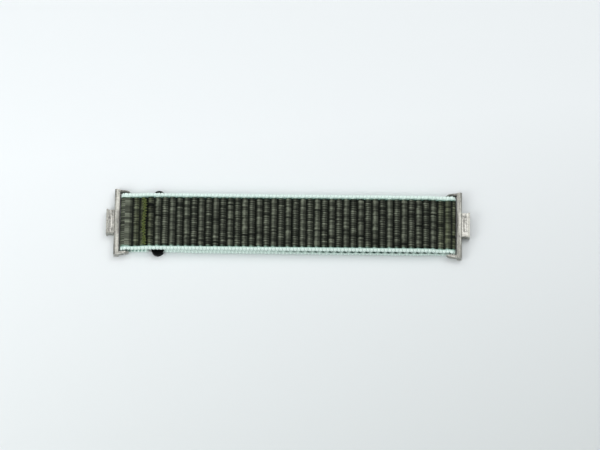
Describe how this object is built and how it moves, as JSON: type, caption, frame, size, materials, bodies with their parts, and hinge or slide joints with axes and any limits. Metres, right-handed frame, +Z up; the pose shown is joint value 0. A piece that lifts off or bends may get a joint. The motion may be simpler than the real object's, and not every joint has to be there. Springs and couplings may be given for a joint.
{
  "type": "watch strap",
  "caption": "Ribbed woven loop strap for a watch, doubled back on itself, with a swivelling metal connector and spring catch at each end.",
  "frame": {"origin": "on the table under the middle of the strap", "axes": "+X along the strap towards its plain folded end, +Y across it away from the viewer, +Z up from the table through the skin side"},
  "size_m": [0.1318, 0.025, 0.0044],
  "materials": {
    "webbing": "ribbed nylon weave, dark grey-green, with pale mint selvedges",
    "hook_patch": "dense nylon hooks",
    "seam_thread": "olive sewing thread",
    "end_stop": "black moulded plastic",
    "connector_metal": "satin stainless steel",
    "spring_wire": "drawn wire"
  },
  "bodies": {
    "section_1": {"band_1": "webbing", "end_seam": "seam_thread"},
    "section_2": {"band_2": "webbing", "tail_2": "webbing"},
    "section_3": {"band_3": "webbing", "tail_3": "webbing"},
    "section_4": {"band_4": "webbing", "tail_4": "webbing"},
    "section_5": {"band_5": "webbing", "tail_5": "webbing"},
    "section_6": {"band_6": "webbing", "tail_6": "webbing"},
    "section_7": {"band_7": "webbing", "tail_7": "webbing"},
    "section_8": {"band_8": "webbing"},
    "tail_tip": {"tail_flap": "webbing", "hook_patch": "hook_patch", "end_stop": "end_stop"},
    "left_connector": {"left_frame": "connector_metal", "left_pin_sleeve": "connector_metal", "left_pin_screw": "connector_metal", "left_cover_plate": "connector_metal", "left_catch_spring": "spring_wire"},
    "left_catch_button": {"left_catch": "connector_metal"},
    "right_connector": {"right_frame": "connector_metal", "right_pin_sleeve": "connector_metal", "right_pin_screw": "connector_metal", "right_cover_plate": "connector_metal", "right_catch_spring": "spring_wire"},
    "right_catch_button": {"right_catch": "connector_metal"}
  },
  "joints": [
    {"name": "strap_wrap", "type": "hinge", "parent": "section_4", "child": "section_5", "pos_m": [0.00656, 0, 0.00337], "axis": [0, -1, 0], "range_deg": [0, 25]},
    {"name": "wrap_5_6", "type": "hinge", "parent": "section_5", "child": "section_6", "pos_m": [0.01969, 0, 0.00337], "axis": [0, -1, 0], "range_deg": [0, 25]},
    {"name": "wrap_6_7", "type": "hinge", "parent": "section_6", "child": "section_7", "pos_m": [0.03281, 0, 0.00337], "axis": [0, -1, 0], "range_deg": [0, 25]},
    {"name": "wrap_7_8", "type": "hinge", "parent": "section_7", "child": "section_8", "pos_m": [0.04594, 0, 0.00337], "axis": [0, -1, 0], "range_deg": [0, 25]},
    {"name": "wrap_4_3", "type": "hinge", "parent": "section_4", "child": "section_3", "pos_m": [-0.00656, 0, 0.00337], "axis": [0, 1, 0], "range_deg": [0, 25]},
    {"name": "wrap_3_2", "type": "hinge", "parent": "section_3", "child": "section_2", "pos_m": [-0.01969, 0, 0.00337], "axis": [0, 1, 0], "range_deg": [0, 37.5]},
    {"name": "wrap_2_1", "type": "hinge", "parent": "section_2", "child": "section_1", "pos_m": [-0.04594, 0, 0.00337], "axis": [0, 1, 0], "range_deg": [0, 37.5]},
    {"name": "tail_peel", "type": "hinge", "parent": "section_2", "child": "tail_tip", "pos_m": [-0.02494, 0, 0], "axis": [0, -1, 0], "range_deg": [0, 100]},
    {"name": "left_swivel", "type": "hinge", "parent": "section_1", "child": "left_connector", "pos_m": [-0.05906, 0, 0.0018], "axis": [0, 1, 0], "range_deg": [-70, 85]},
    {"name": "right_swivel", "type": "hinge", "parent": "section_8", "child": "right_connector", "pos_m": [0.05906, 0, 0.0018], "axis": [0, -1, 0], "range_deg": [-70, 85]},
    {"name": "left_catch_press", "type": "slide", "parent": "left_connector", "child": "left_catch_button", "axis": [0, 0, -1], "range_m": [0, 0.0004], "stiffness_N_per_m": 300, "deforming": ["left_catch_spring"]},
    {"name": "right_catch_press", "type": "slide", "parent": "right_connector", "child": "right_catch_button", "axis": [0, 0, -1], "range_m": [0, 0.0004], "stiffness_N_per_m": 300, "deforming": ["right_catch_spring"]}
  ],
  "couplings": [
    {"joint": "wrap_5_6", "follows": "strap_wrap", "ratio": 1},
    {"joint": "wrap_6_7", "follows": "strap_wrap", "ratio": 1},
    {"joint": "wrap_7_8", "follows": "strap_wrap", "ratio": 1},
    {"joint": "wrap_4_3", "follows": "strap_wrap", "ratio": 1},
    {"joint": "wrap_3_2", "follows": "strap_wrap", "ratio": 1.5},
    {"joint": "wrap_2_1", "follows": "strap_wrap", "ratio": 1.5}
  ]
}
